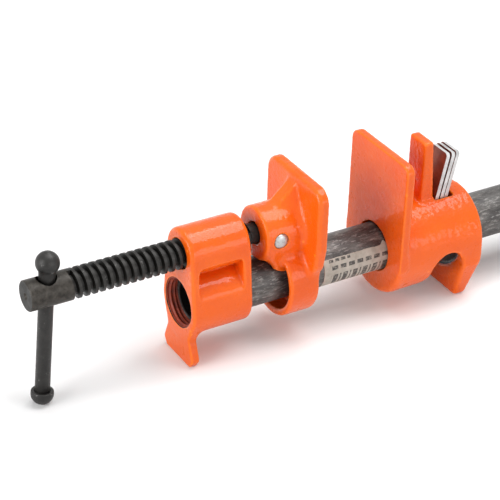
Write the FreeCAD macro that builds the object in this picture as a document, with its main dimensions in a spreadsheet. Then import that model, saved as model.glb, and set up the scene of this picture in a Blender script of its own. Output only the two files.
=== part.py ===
"""Pipe clamp: a screw jaw and a clutch jaw, both cast, on a length of threaded steel pipe.

Stations are measured along the pipe from the head's front face, and heights from the pipe's axis.
The whole clamp is then shifted so that it stands on z = 0, centred in x. Lengths are millimetres.
"""
import FreeCAD
import Part
import math
import os

import Sketcher

V = FreeCAD.Vector

SIZES = {
    "pipe_od": 21.34,
    "pipe_wall": 2.77,
    "pipe_length": 609.6,
    "pipe_inset": 5.4,
    "pipe_pitch": 1.814,
    "pipe_thread_depth": 1.1,
    "pipe_thread_length": 15.0,
    "pipe_groove_floor": 0.1667,
    "pipe_groove_mouth": 0.93,
    "axis_height": 27.3,
    "label_start": 65.5,
    "label_length": 46.0,
    "label_thickness": 0.15,
    "label_top_angle": 46.0,
    "label_wrap_angle": 160.0,
    "screw_height": 24.0,
    "screw_overhang": 68.8,
    "screw_end_radius": 6.55,
    "screw_end_length": 18.8,
    "screw_end_chamfer": 0.35,
    "screw_crest_radius": 6.5,
    "screw_root_radius": 4.6,
    "screw_thread_length": 81.0,
    "screw_pitch": 3.5,
    "screw_groove_width": 1.3,
    "screw_groove_slope": 0.5,
    "screw_nose_radius": 4.45,
    "screw_length": 120.6,
    "screw_chamfer": 0.8,
    "groove_radius": 3.0,
    "groove_width": 7.0,
    "dimple_radius": 1.6,
    "handle_station": 9.1,
    "handle_hole_radius": 4.45,
    "handle_bar_radius": 3.2,
    "handle_ball_radius": 5.0,
    "handle_ball_reach": 12.25,
    "handle_knob_radius": 4.85,
    "handle_knob_reach": 46.765,
    "handle_knob_rise": 1.5,
    "handle_knob_seat": 1.2,
    "handle_overhang": 0.56,
    "handle_lean": 7.164,
    "handle_lean_heading": 34.43,
    "head_length": 28.8,
    "head_top_radius": 11.1,
    "head_low_radius": 13.7,
    "head_low_drop": 1.0,
    "head_flange": 3.8,
    "head_pocket_low": 5.5,
    "head_pocket_high": 20.6,
    "head_web": 5.2,
    "head_edge": 0.7,
    "head_neck_width": 17.8,
    "head_neck_drop": 14.0,
    "head_shin_width": 20.4,
    "head_shin_drop": 17.4,
    "head_toe_width": 24.4,
    "head_toe_drop": 22.8,
    "head_foot_width": 19.8,
    "head_foot_thickness": 4.2,
    "foot_toe_height": 3.0,
    "socket_crest_gap": 0.18,
    "socket_groove_gap": 0.08,
    "socket_bore_gap": 0.13,
    "socket_mouth_depth": 1.2,
    "socket_mouth_gap": 0.3,
    "socket_lead": 6.349,
    "socket_groove_floor": 0.146,
    "socket_groove_mouth": 0.91,
    "jaw_face_station": 59.3,
    "jaw_thickness": 4.9,
    "jaw_top": 48.2,
    "jaw_width": 43.0,
    "jaw_corner": 7.0,
    "jaw_waist_height": 20.0,
    "jaw_hip_width": 36.6,
    "jaw_hip_height": 14.8,
    "jaw_heel_width": 27.2,
    "jaw_heel_height": 8.3,
    "boss_radius": 11.8,
    "boss_length": 23.4,
    "boss_bore": 4.53,
    "boss_bore_depth": 16.6,
    "boss_bore_chamfer": 0.9,
    "ring_radius": 17.6,
    "ring_drop": 0.5,
    "ring_hollow": 14.8,
    "ring_length": 14.3,
    "ring_floor": 0.6,
    "jaw_web_width": 19.0,
    "web_front": 20.3,
    "web_front_height": 15.0,
    "web_step": 16.8,
    "web_step_height": 7.5,
    "web_root": 14.0,
    "web_root_height": 6.0,
    "jaw_pipe_hole": 11.15,
    "rib_top": 45.4,
    "rib_width": 6.0,
    "rib_spread": 21.4,
    "rib_reach": 14.8,
    "rib_base": 5.0,
    "rib_nose_base": 9.2,
    "rib_nose_top": 11.4,
    "rib_sink": 0.4,
    "pin_station": 16.7,
    "pin_radius": 3.3,
    "pin_dome": 0.7,
    "pin_gap": 0.12,
    "tail_face_station": 97.7,
    "tail_top": 49.0,
    "tail_width": 43.4,
    "tail_corner": 3.8,
    "tail_front_radius": 21.3,
    "tail_rear_radius": 20.8,
    "tail_drop": 0.7,
    "tail_length": 45.2,
    "tail_edge": 1.6,
    "tail_pipe_hole": 11.4,
    "chamber_front": 19.0,
    "chamber_rear": 35.8,
    "chamber_radius": 17.0,
    "arch_centre": 27.5,
    "arch_radius": 7.8,
    "arch_height": -8.8,
    "slot_front": 26.9,
    "slot_rear": 37.2,
    "slot_width": 12.6,
    "tab_root": 10.0,
    "tab_front": 19.8,
    "tab_rear_base": 27.4,
    "tab_rear_top": 24.6,
    "tab_top": 48.6,
    "tab_width": 12.0,
    "tail_foot_front": 34.0,
    "tail_foot_rear": 41.0,
    "tail_foot_width": 34.6,
    "tail_foot_spread": 39.0,
    "tail_foot_root": 8.0,
    "clutch_thickness": 1.8,
    "clutch_disc_radius": 16.3,
    "clutch_hole_radius": 11.4,
    "clutch_tab_width": 11.8,
    "clutch_tab_reach": 41.3,
    "clutch_corner": 1.6,
    "clutch_station": 24.8,
    "clutch_spacing": 2.2,
    "clutch_lean": 11.5,
    "clutch_fan": 0.8,
    "clutch_spread": 0.1,
    "spring_radius": 12.9,
    "spring_wire": 0.4,
    "spring_turns": 2.0,
}
SCREW_CLEARANCE = 0.15
PIN_CLEARANCE = 0.05
PAST = 30
CLUTCH_PLATES = ("clutch_plate_front", "clutch_plate_middle", "clutch_plate_rear")
SPRING_POINTS_PER_TURN = 16
SPRING_GAP = 0.05

doc = FreeCAD.newDocument("pipe_clamp")
sheet = doc.addObject("Spreadsheet::Sheet", "Sizes")
for row, (size_name, size_value) in enumerate(SIZES.items(), start=1):
    sheet.set("A%d" % row, size_name)
    sheet.set("B%d" % row, str(size_value))
    sheet.setAlias("B%d" % row, size_name)
doc.recompute()


def size(name):
    """Number in a named cell of the sheet."""
    return float(sheet.get(name))


def formula(text):
    """Expression in which each bare size name is written as a cell of the sheet."""
    words = []
    for word in str(text).replace("(", "( ").replace(")", " )").split():
        words.append("Sizes." + word if word in SIZES else word)
    return " ".join(words)


def value(text):
    return float(sheet.evalExpression(formula(text)))


def bind(obj, path, text):
    obj.setExpression(path, formula(text))


def place(obj, station, height=0):
    """Put an object's origin at a station along the pipe and a height over its axis."""
    obj.Placement.Base = V(0, 0, 0)
    overall = "( screw_overhang + handle_overhang - pipe_inset - pipe_length ) / 2"
    bind(obj, "Placement.Base.x", "%s + %s" % (overall, station))
    bind(obj, "Placement.Base.z", "axis_height + %s" % height)


def new_body(name):
    body = doc.addObject("PartDesign::Body", name)
    body.Label = name
    return body


def own(body, role):
    """One of the body's own origin planes or axes."""
    return next(f for f in body.Origin.OriginFeatures if f.Role == role)


def new_sketch(body, role, offset="0", up="0"):
    """Sketch parallel to an origin plane, moved along its normal and up in its own plane."""
    sketch = body.newObject("Sketcher::SketchObject", body.Name + "_sketch")
    sketch.AttachmentSupport = [(own(body, role), "")]
    sketch.MapMode = "FlatFace"
    bind(sketch, "AttachmentOffset.Base.z", offset)
    bind(sketch, "AttachmentOffset.Base.y", up)
    return sketch


def hold(sketch, kind, line, point, text):
    """Fix one coordinate of a sketch point to an expression, measured from the origin."""
    if value(text) == 0:
        axis = -2 if kind == "DistanceX" else -1
        sketch.addConstraint(Sketcher.Constraint("PointOnObject", line, point, axis))
        return
    held = sketch.addConstraint(Sketcher.Constraint(kind, -1, 1, line, point, value(text)))
    bind(sketch, "Constraints[%d]" % held, text)


def polygon(sketch, *corners):
    """Closed outline of straight lines. Each corner is a pair of expressions."""
    points = [V(value(a), value(b), 0) for a, b in corners]
    count = len(points)
    for i in range(count):
        sketch.addGeometry(Part.LineSegment(points[i], points[(i + 1) % count]), False)
    for i in range(count):
        sketch.addConstraint(Sketcher.Constraint("Coincident", i, 2, (i + 1) % count, 1))
    for i, (a, b) in enumerate(corners):
        hold(sketch, "DistanceX", i, 1, a)
        hold(sketch, "DistanceY", i, 1, b)
    return sketch


def mirrored(*corners):
    """Outline that is the same on both sides of the sketch's vertical axis, from its right half."""
    left = [("- ( %s )" % a, b) for a, b in reversed(corners)]
    return tuple(corners) + tuple(left)


def circle(sketch, radius, a="0", b="0"):
    """Circle at a point given by expressions, with an expression for its radius."""
    centre = V(value(a), value(b), 0)
    index = sketch.addGeometry(Part.Circle(centre, V(0, 0, 1), value(radius)), False)
    held = sketch.addConstraint(Sketcher.Constraint("Radius", index, value(radius)))
    bind(sketch, "Constraints[%d]" % held, radius)
    hold(sketch, "DistanceX", index, 3, a)
    hold(sketch, "DistanceY", index, 3, b)
    return sketch


def feature(body, kind, sketch, length, side="One side"):
    """Pad or pocket of a sketch. A pad follows the sketch's normal and a pocket goes against it."""
    made = body.newObject("PartDesign::" + kind, body.Name + "_" + kind.lower())
    made.Profile = sketch
    made.SideType = side
    bind(made, "Length", length)
    return made


def pad(body, sketch, length, side="One side"):
    return feature(body, "Pad", sketch, length, side)


def pocket(body, sketch, length, side="One side"):
    return feature(body, "Pocket", sketch, length, side)


def turn(body, kind, sketch):
    """Revolution or groove of a sketch about the sketch's own horizontal axis."""
    made = body.newObject("PartDesign::" + kind, body.Name + "_" + kind.lower())
    made.Profile = sketch
    made.ReferenceAxis = (sketch, ["H_Axis"])
    made.Angle = 360
    return made


def thread_groove(body, up, station, run, pitch, inner, outer):
    """Right-handed groove cut along X. inner and outer are pairs of a radius and a width."""
    sketch = new_sketch(body, "XZ_Plane", "0", up)
    corners = []
    for (radius, width), sides in ((inner, "-+"), (outer, "+-")):
        corners += [("%s %s ( %s ) / 2" % (station, sign, width), radius) for sign in sides]
    polygon(sketch, *corners)
    made = body.newObject("PartDesign::SubtractiveHelix", body.Name + "_thread")
    made.Profile = sketch
    made.ReferenceAxis = (sketch, ["H_Axis"])
    made.Mode = 0
    bind(made, "Pitch", pitch)
    bind(made, "Height", run)
    return made


def round_edges(body, radius, wanted):
    """Fillet the edges of the body's latest shape that the test picks out."""
    doc.recompute()
    tip = body.Tip
    names = ["Edge%d" % i for i, edge in enumerate(tip.Shape.Edges, start=1) if wanted(edge)]
    made = body.newObject("PartDesign::Fillet", body.Name + "_fillet")
    made.Base = (tip, names)
    bind(made, "Radius", radius)
    return made


def make_pipe():
    """Pipe bored through, with a thread on the end that the head takes."""
    body = new_body("pipe")
    pad(body, circle(new_sketch(body, "YZ_Plane"), "pipe_od / 2"), "pipe_length")
    inner = ("pipe_od / 2 - pipe_thread_depth", "pipe_pitch * pipe_groove_floor")
    outer = ("pipe_od / 2 + 0.1", "pipe_pitch * pipe_groove_mouth")
    thread_groove(body, "0", "0", "pipe_thread_length", "pipe_pitch", inner, outer)
    bore = circle(new_sketch(body, "YZ_Plane", "pipe_length"), "pipe_od / 2 - pipe_wall")
    pocket(body, bore, "pipe_length")
    place(body, "pipe_inset")


def make_label():
    """Thin sheet wrapped round part of the pipe, from its front shoulder down under it."""
    sleeve = doc.addObject("Part::Cylinder", "pipe_label_sleeve")
    core = doc.addObject("Part::Cylinder", "pipe_label_core")
    bind(sleeve, "Radius", "pipe_od / 2 + label_thickness")
    bind(core, "Radius", "pipe_od / 2")
    for cylinder in (sleeve, core):
        bind(cylinder, "Height", "label_length")
        bind(cylinder, "Angle", "label_wrap_angle")
    label = doc.addObject("Part::Cut", "pipe_label")
    label.Label = "pipe_label"
    label.Base = sleeve
    label.Tool = core
    along = FreeCAD.Rotation(V(0, 1, 0), 90)
    turned = FreeCAD.Rotation(V(1, 0, 0), -90 - size("label_top_angle"))
    label.Placement.Rotation = turned.multiply(along)
    place(label, "label_start")


def make_head():
    """Cast head: a slab round two bores, pocketed on both sides between them, on a foot at its front."""
    body = new_body("head_casting")
    barrels = (("head_low_radius", "- head_low_drop"), ("head_top_radius", "screw_height"))
    pad(body, polygon(new_sketch(body, "YZ_Plane"), *mirrored(*barrels)), "head_length")
    for radius, height in barrels:
        pad(body, circle(new_sketch(body, "YZ_Plane"), radius, "0", height), "head_length")
    for offset in ("- ( head_web / 2 )", "head_web / 2 + %s" % PAST):
        corners = (
            ("head_flange", "head_pocket_low"),
            ("head_length - head_flange", "head_pocket_low"),
            ("head_length - head_flange", "head_pocket_high"),
            ("head_flange", "head_pocket_high"),
        )
        pocket(body, polygon(new_sketch(body, "XZ_Plane", offset), *corners), str(PAST))
    for radius, height in barrels:
        barrel = circle(new_sketch(body, "YZ_Plane"), "%s - head_edge" % radius, "0", height)
        pad(body, barrel, "head_length")
    foot = (
        ("head_foot_width / 2", "- axis_height"),
        ("head_toe_width / 2", "foot_toe_height - axis_height"),
        ("head_toe_width / 2", "- head_toe_drop"),
        ("head_shin_width / 2", "- head_shin_drop"),
        ("head_neck_width / 2", "- head_neck_drop"),
        ("head_neck_width / 2", "0"),
    )
    pad(body, polygon(new_sketch(body, "YZ_Plane"), *mirrored(*foot)), "head_foot_thickness")
    return body


def bore_head(body):
    """Threaded pipe socket below and threaded screw hole above."""
    crest = "pipe_od / 2 - pipe_thread_depth + socket_crest_gap"
    seat = "pipe_inset + pipe_thread_length - pipe_pitch / 2"
    plain = "pipe_od / 2 + socket_bore_gap"
    mouth = "pipe_od / 2 + socket_mouth_gap"
    socket = (
        ("- 1", "0"),
        ("head_length + 1", "0"),
        ("head_length + 1", plain),
        (seat, plain),
        (seat, crest),
        ("socket_mouth_depth", crest),
        ("0", mouth),
        ("- 1", mouth),
    )
    turn(body, "Groove", polygon(new_sketch(body, "XZ_Plane"), *socket))
    start = "( pipe_inset - socket_lead )"
    run = "pipe_thread_length + socket_lead"
    inner = ("pipe_od / 2 - pipe_thread_depth + socket_groove_gap", "pipe_pitch * socket_groove_mouth")
    outer = ("pipe_od / 2 + socket_crest_gap", "pipe_pitch * socket_groove_floor")
    thread_groove(body, "0", start, run, "pipe_pitch", inner, outer)
    screw_hole = new_sketch(body, "YZ_Plane", "head_length")
    circle(screw_hole, "screw_root_radius + 0.2", "0", "screw_height")
    pocket(body, screw_hole, "head_length")
    start = "( screw_end_length - screw_overhang + 13.5 * screw_pitch )"
    width = "screw_pitch - screw_groove_width + %s - %s * screw_groove_slope"
    gap = 2 * SCREW_CLEARANCE
    inner = ("screw_root_radius + 0.1", width % (gap, 0.1))
    outer = ("screw_crest_radius + 0.2", width % (gap, "( screw_crest_radius + 0.2 - screw_root_radius )"))
    run = "head_length + 2 * screw_pitch"
    thread_groove(body, "screw_height", start, run, "screw_pitch", inner, outer)
    place(body, "0")


def make_screw():
    """Clamp screw: a plain end with the handle's hole, a coarse thread and a grooved nose."""
    body = new_body("clamp_screw")
    profile = (
        ("0", "0"),
        ("screw_length", "0"),
        ("screw_length", "screw_nose_radius - screw_chamfer"),
        ("screw_length - screw_chamfer", "screw_nose_radius"),
        ("screw_end_length + screw_thread_length + 1.5", "screw_nose_radius"),
        ("screw_end_length + screw_thread_length", "screw_crest_radius"),
        ("screw_end_length", "screw_crest_radius"),
        ("screw_end_length", "screw_end_radius"),
        ("screw_end_chamfer", "screw_end_radius"),
        ("0", "screw_end_radius - screw_end_chamfer"),
    )
    turn(body, "Revolution", polygon(new_sketch(body, "XZ_Plane"), *profile))
    past = 0.5
    inner = ("screw_root_radius", "screw_groove_width")
    outer = (
        "screw_crest_radius + %s" % past,
        "screw_groove_width + ( screw_crest_radius + %s - screw_root_radius ) * screw_groove_slope" % past,
    )
    thread_groove(body, "0", "screw_end_length", "screw_thread_length", "screw_pitch", inner, outer)
    middle = "screw_overhang + jaw_face_station - pin_station"
    neck = (
        ("%s - groove_width / 2" % middle, "groove_radius"),
        ("%s + groove_width / 2" % middle, "groove_radius"),
        ("%s + groove_width / 2" % middle, "screw_nose_radius + 1"),
        ("%s - groove_width / 2" % middle, "screw_nose_radius + 1"),
    )
    turn(body, "Groove", polygon(new_sketch(body, "XZ_Plane"), *neck))
    dimple = (("- 0.5", "0"), ("dimple_radius", "0"), ("- 0.5", "dimple_radius + 0.5"))
    turn(body, "Groove", polygon(new_sketch(body, "XZ_Plane"), *dimple))
    hole = circle(new_sketch(body, "XY_Plane"), "handle_hole_radius", "handle_station")
    pocket(body, hole, "4 * screw_end_radius", "Symmetric")
    place(body, "- screw_overhang", "screw_height")


def make_handle():
    """Bar with a forged ball at its top and a round knob pressed on its lower end."""
    bar = doc.addObject("Part::Cylinder", "handle_rod")
    bind(bar, "Radius", "handle_bar_radius")
    bind(bar, "Height", "handle_ball_reach + handle_knob_reach + handle_knob_seat")
    bind(bar, "Placement.Base.z", "- ( handle_knob_reach + handle_knob_seat )")
    ball = doc.addObject("Part::Sphere", "handle_ball")
    bind(ball, "Radius", "handle_ball_radius")
    bind(ball, "Placement.Base.z", "handle_ball_reach")
    fused = doc.addObject("Part::MultiFuse", "handle_bar")
    fused.Label = "handle_bar"
    fused.Shapes = [bar, ball]

    dome = doc.addObject("Part::Sphere", "knob_dome")
    dome.Angle2 = 0
    wall = doc.addObject("Part::Cylinder", "knob_wall")
    bind(wall, "Height", "handle_knob_rise")
    for solid in (dome, wall):
        bind(solid, "Radius", "handle_knob_radius")
        bind(solid, "Placement.Base.z", "- handle_knob_reach")
    button = doc.addObject("Part::MultiFuse", "knob_button")
    button.Shapes = [dome, wall]
    socket = doc.addObject("Part::Cylinder", "knob_socket")
    bind(socket, "Radius", "handle_bar_radius")
    bind(socket, "Height", "handle_knob_seat + 2 * handle_knob_rise")
    bind(socket, "Placement.Base.z", "- ( handle_knob_reach + handle_knob_seat )")
    knob = doc.addObject("Part::Cut", "handle_knob")
    knob.Label = "handle_knob"
    knob.Base = button
    knob.Tool = socket

    heading = math.radians(size("handle_lean_heading"))
    lean = FreeCAD.Rotation(V(-math.sin(heading), math.cos(heading), 0), size("handle_lean"))
    for part in (fused, knob):
        part.Placement.Rotation = lean
        place(part, "handle_station - screw_overhang", "screw_height")


def round_top_corners(body, width, top, radius):
    """Round the two upper corners of a jaw plate."""
    side = value(width) / 2
    height = value(top)

    def is_top_corner(edge):
        box = edge.BoundBox
        return box.ZMin > height - 0.01 and box.YLength < 0.01 and abs(abs(box.YMax) - side) < 0.01

    round_edges(body, radius, is_top_corner)


def make_jaw():
    """Sliding jaw: a plate with a boss for the screw, a ring round the pipe and a rib on top."""
    body = new_body("sliding_jaw")
    outline = mirrored(
        ("jaw_heel_width / 2", "jaw_heel_height"),
        ("jaw_hip_width / 2", "jaw_hip_height"),
        ("jaw_width / 2", "jaw_waist_height"),
        ("jaw_width / 2", "jaw_top"),
    )
    plate = polygon(new_sketch(body, "YZ_Plane", "- jaw_thickness"), *outline)
    pad(body, plate, "jaw_thickness")
    round_top_corners(body, "jaw_width", "jaw_top", "jaw_corner")
    ring = circle(new_sketch(body, "YZ_Plane", "- ring_length"), "ring_radius", "0", "- ring_drop")
    pad(body, ring, "ring_length")
    hollow = circle(new_sketch(body, "YZ_Plane", "- ( jaw_thickness + ring_floor )"), "ring_hollow")
    pocket(body, hollow, "ring_length")
    flank = (
        ("- web_front", "web_front_height"),
        ("- web_step", "web_step_height"),
        ("- web_root", "web_root_height"),
        ("- ( jaw_thickness / 2 )", "web_root_height"),
        ("- ( jaw_thickness / 2 )", "screw_height"),
        ("- web_front", "screw_height"),
    )
    pad(body, polygon(new_sketch(body, "XZ_Plane"), *flank), "jaw_web_width", "Symmetric")
    boss = circle(new_sketch(body, "YZ_Plane", "- boss_length"), "boss_radius", "0", "screw_height")
    pad(body, boss, "boss_length")
    back = mirrored(("rib_spread / 2", "screw_height + rib_base"), ("rib_width / 2", "rib_top"))
    front = mirrored(
        ("rib_width / 2 + 1", "screw_height + rib_nose_base"),
        ("rib_width / 2", "screw_height + rib_nose_top"),
    )
    rib = body.newObject("PartDesign::AdditiveLoft", "sliding_jaw_rib")
    rib.Profile = polygon(new_sketch(body, "YZ_Plane", "- ( jaw_thickness - rib_sink )"), *back)
    rib.Sections = [polygon(new_sketch(body, "YZ_Plane", "- rib_reach"), *front)]
    rib.Ruled = True
    pipe_hole = circle(new_sketch(body, "YZ_Plane"), "jaw_pipe_hole")
    pocket(body, pipe_hole, "3 * ring_length", "Symmetric")
    bore = (
        ("- ( boss_length + 1 )", "0"),
        ("boss_bore_depth - boss_length", "0"),
        ("boss_bore_depth - boss_length", "boss_bore"),
        ("boss_bore_chamfer - boss_length", "boss_bore"),
        ("- boss_length", "boss_bore + boss_bore_chamfer"),
        ("- ( boss_length + 1 )", "boss_bore + boss_bore_chamfer"),
    )
    turn(body, "Groove", polygon(new_sketch(body, "XZ_Plane", "0", "screw_height"), *bore))
    pin_hole = new_sketch(body, "XZ_Plane", "boss_radius + 2")
    circle(pin_hole, "pin_radius + %s" % PIN_CLEARANCE, "- pin_station", "screw_height")
    pocket(body, pin_hole, "boss_radius + 2")
    place(body, "jaw_face_station")


def make_pin():
    """Pin with a domed head, driven through the boss into the screw's groove."""
    body = new_body("spindle_pin")
    tip = "groove_radius + pin_gap"
    profile = (
        (tip, "0"),
        ("boss_radius + pin_dome", "0"),
        ("boss_radius + 0.6 * pin_dome", "pin_radius * 0.65"),
        ("boss_radius", "pin_radius"),
        (tip, "pin_radius"),
    )
    turn(body, "Revolution", polygon(new_sketch(body, "XZ_Plane"), *profile))
    body.Placement.Rotation = FreeCAD.Rotation(V(0, 0, 1), -90)
    place(body, "jaw_face_station - pin_station", "screw_height")


def make_tail():
    """Tail jaw: a plate, a hollow round body with the clutch's slot and arch, a tab and a foot."""
    body = new_body("tail_jaw")
    outline = mirrored(("tail_width / 2", "0"), ("tail_width / 2", "tail_top"))
    pad(body, polygon(new_sketch(body, "YZ_Plane"), *outline), "jaw_thickness")
    round_top_corners(body, "tail_width", "tail_top", "tail_corner")
    barrel = (
        ("0", "0"),
        ("tail_length", "0"),
        ("tail_length", "tail_rear_radius - tail_edge"),
        ("tail_length - tail_edge", "tail_rear_radius"),
        ("jaw_thickness", "tail_front_radius"),
        ("tail_edge", "tail_front_radius"),
        ("0", "tail_front_radius - tail_edge"),
    )
    turn(body, "Revolution", polygon(new_sketch(body, "XZ_Plane", "0", "- tail_drop"), *barrel))
    tab = (
        ("tab_front", "tab_root"),
        ("tab_rear_base", "tab_root"),
        ("tab_rear_top", "tab_top"),
        ("tab_front", "tab_top"),
    )
    pad(body, polygon(new_sketch(body, "XZ_Plane"), *tab), "tab_width", "Symmetric")
    foot = mirrored(
        ("tail_foot_width / 2", "- axis_height"),
        ("tail_foot_width / 2", "foot_toe_height - axis_height"),
        ("tail_foot_spread / 2", "- tail_foot_root"),
    )
    foot_sketch = polygon(new_sketch(body, "YZ_Plane", "tail_foot_front"), *foot)
    pad(body, foot_sketch, "tail_foot_rear - tail_foot_front")
    chamber = (
        ("- 1", "0"),
        ("tail_length + 1", "0"),
        ("tail_length + 1", "tail_pipe_hole"),
        ("chamber_rear", "tail_pipe_hole"),
        ("chamber_rear", "chamber_radius"),
        ("chamber_front", "chamber_radius"),
        ("chamber_front", "tail_pipe_hole"),
        ("- 1", "tail_pipe_hole"),
    )
    turn(body, "Groove", polygon(new_sketch(body, "XZ_Plane"), *chamber))
    slot = (
        ("slot_front", "slot_width / 2"),
        ("slot_rear", "slot_width / 2"),
        ("slot_rear", "- slot_width / 2"),
        ("slot_front", "- slot_width / 2"),
    )
    slot_sketch = polygon(new_sketch(body, "XY_Plane", "tail_front_radius + 1"), *slot)
    pocket(body, slot_sketch, "tail_front_radius - 8")
    arch = circle(new_sketch(body, "XZ_Plane"), "arch_radius", "arch_centre", "arch_height")
    pocket(body, arch, "3 * tail_front_radius", "Symmetric")
    below = (
        ("arch_centre - arch_radius", "arch_height"),
        ("arch_centre - arch_radius", "- 2 * axis_height"),
        ("tail_foot_front", "- 2 * axis_height"),
        ("tail_foot_front", "- axis_height"),
        ("arch_centre + arch_radius", "arch_height"),
    )
    pocket(body, polygon(new_sketch(body, "XZ_Plane"), *below), "3 * tail_front_radius", "Symmetric")
    place(body, "tail_face_station")


def plate_lean(order):
    """Lean of a clutch plate in degrees. The two rear plates lean together, more than the front one."""
    return size("clutch_lean") + min(order, 1) * size("clutch_fan") + order * size("clutch_spread")


def make_clutch():
    """Three loose plates, the front one leaning less than the other two."""
    for order, name in enumerate(CLUTCH_PLATES):
        body = new_body(name)
        half = "- ( clutch_thickness / 2 )"
        pad(body, circle(new_sketch(body, "YZ_Plane", half), "clutch_disc_radius"), "clutch_thickness")
        tongue = mirrored(("clutch_tab_width / 2", "0"), ("clutch_tab_width / 2", "clutch_tab_reach"))
        pad(body, polygon(new_sketch(body, "YZ_Plane", half), *tongue), "clutch_thickness")
        reach = size("clutch_tab_reach")
        round_edges(body, "clutch_corner", lambda edge: edge.BoundBox.ZMin > reach - 0.01
                    and edge.BoundBox.YLength < 0.01)
        hole = circle(new_sketch(body, "YZ_Plane"), "clutch_hole_radius")
        pocket(body, hole, "3 * clutch_thickness", "Symmetric")
        body.Placement.Rotation = FreeCAD.Rotation(V(0, 1, 0), plate_lean(order))
        place(body, "tail_face_station + clutch_station + %d * clutch_spacing" % order)


def make_spring():
    """Round wire wound from the chamber's rear wall to the back of the leaning rear plate."""
    wire = size("spring_wire")
    radius = size("spring_radius")
    turns = size("spring_turns")
    lean = math.radians(plate_lean(2))
    plate = size("clutch_station") + 2 * size("clutch_spacing")
    back = plate + size("clutch_thickness") / 2 / math.cos(lean) + wire / math.cos(lean) + SPRING_GAP
    wall = size("chamber_rear") - wire - SPRING_GAP
    points = []
    steps = int(turns * SPRING_POINTS_PER_TURN)
    for step in range(steps + 1):
        part = step / steps
        angle = math.tau * turns * part
        height = radius * math.cos(angle)
        start = back + height * math.tan(lean)
        points.append(V(start + (wall - start) * part, radius * math.sin(angle), height))
    curve = Part.BSplineCurve()
    curve.interpolate(points)
    path = Part.Wire([curve.toShape()])
    section = Part.Wire([Part.makeCircle(wire, points[0], curve.tangent(curve.FirstParameter)[0])])
    spring = doc.addObject("Part::Feature", "clutch_spring")
    spring.Label = "clutch_spring"
    spring.Shape = path.makePipeShell([section], True, True)
    place(spring, "tail_face_station")


make_pipe()
make_label()
bore_head(make_head())
make_screw()
make_handle()
make_jaw()
make_pin()
make_tail()
make_clutch()
make_spring()
doc.recompute()

for obj in doc.Objects:
    if "Invalid" in obj.State or "Error" in obj.State:
        raise RuntimeError("%s: %s" % (obj.Name, obj.State))

NODES = (
    "pipe",
    "pipe_label",
    "head_casting",
    "clamp_screw",
    "handle_bar",
    "handle_knob",
    "sliding_jaw",
    "spindle_pin",
    "tail_jaw",
) + CLUTCH_PLATES + ("clutch_spring",)
os.makedirs("parts", exist_ok=True)
for name in NODES:
    shape = doc.getObject(name).Shape
    if shape.isNull() or not shape.isValid() or len(shape.Solids) != 1:
        raise RuntimeError(name + " is not one valid solid")
    shape.exportStep("parts/%s.step" % name)
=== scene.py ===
import math

import bpy
import numpy as np
from mathutils import Matrix, Vector, noise


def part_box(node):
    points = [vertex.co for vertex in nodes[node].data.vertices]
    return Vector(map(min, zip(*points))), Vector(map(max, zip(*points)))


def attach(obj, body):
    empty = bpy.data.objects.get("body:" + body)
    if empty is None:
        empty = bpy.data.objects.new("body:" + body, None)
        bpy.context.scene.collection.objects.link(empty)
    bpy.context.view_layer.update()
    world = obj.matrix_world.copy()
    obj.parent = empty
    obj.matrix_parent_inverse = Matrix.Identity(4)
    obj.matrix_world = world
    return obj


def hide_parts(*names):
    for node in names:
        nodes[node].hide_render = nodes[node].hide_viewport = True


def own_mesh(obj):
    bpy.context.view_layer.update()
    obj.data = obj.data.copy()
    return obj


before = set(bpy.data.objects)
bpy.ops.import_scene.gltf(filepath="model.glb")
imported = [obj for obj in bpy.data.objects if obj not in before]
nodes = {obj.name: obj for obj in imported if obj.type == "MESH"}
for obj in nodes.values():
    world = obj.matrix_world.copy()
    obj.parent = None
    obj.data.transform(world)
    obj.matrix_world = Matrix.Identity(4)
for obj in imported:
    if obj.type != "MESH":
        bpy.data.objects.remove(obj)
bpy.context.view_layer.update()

# Everything below is laid out in millimetres from the head's front face and the pipe's axis.
MM = 0.001
head_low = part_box("head_casting")[0]
pipe_low, pipe_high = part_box("pipe")
SHIFT = Vector((head_low[0], 0.0, (pipe_low[2] + pipe_high[2]) / 2)) / MM

# Driving dimensions.
GROUND = -27.3
SCREW_HEIGHT = 24.0
HEAD_LENGTH = 28.8
HANDLE_STATION = -59.7
PLATE_THICKNESS = 4.9
JAW_FACE = 59.3
PIN_SETBACK = 16.7
TAIL_FACE = 97.7
TAIL_LENGTH = 45.2
CHAMBER_FRONT = 19.0
CHAMBER_REAR = 35.8
CHAMBER_RADIUS = 17.0
LABEL_START = 65.5


# ---------------------------------------------------------------- distance fields

class Grid:
    """Regular grid of points, whose coordinates broadcast against each other."""

    def __init__(self, low, high, step):
        self.low = np.array(low, float)
        self.step = step
        axes = [np.arange(a, b + step, step) for a, b in zip(low, high)]
        self.x = axes[0][:, None, None]
        self.y = axes[1][None, :, None]
        self.z = axes[2][None, None, :]
        self.shape = tuple(len(a) for a in axes)


def slab(values, low, high):
    return np.maximum(low - values, values - high)


def disc(u, v, cu, cv, r):
    return np.hypot(u - cu, v - cv) - r


def rounded_box(u, v, cu, cv, half_u, half_v, r):
    du = np.abs(u - cu) - half_u + r
    dv = np.abs(v - cv) - half_v + r
    return np.hypot(np.maximum(du, 0), np.maximum(dv, 0)) + np.minimum(np.maximum(du, dv), 0) - r


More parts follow.
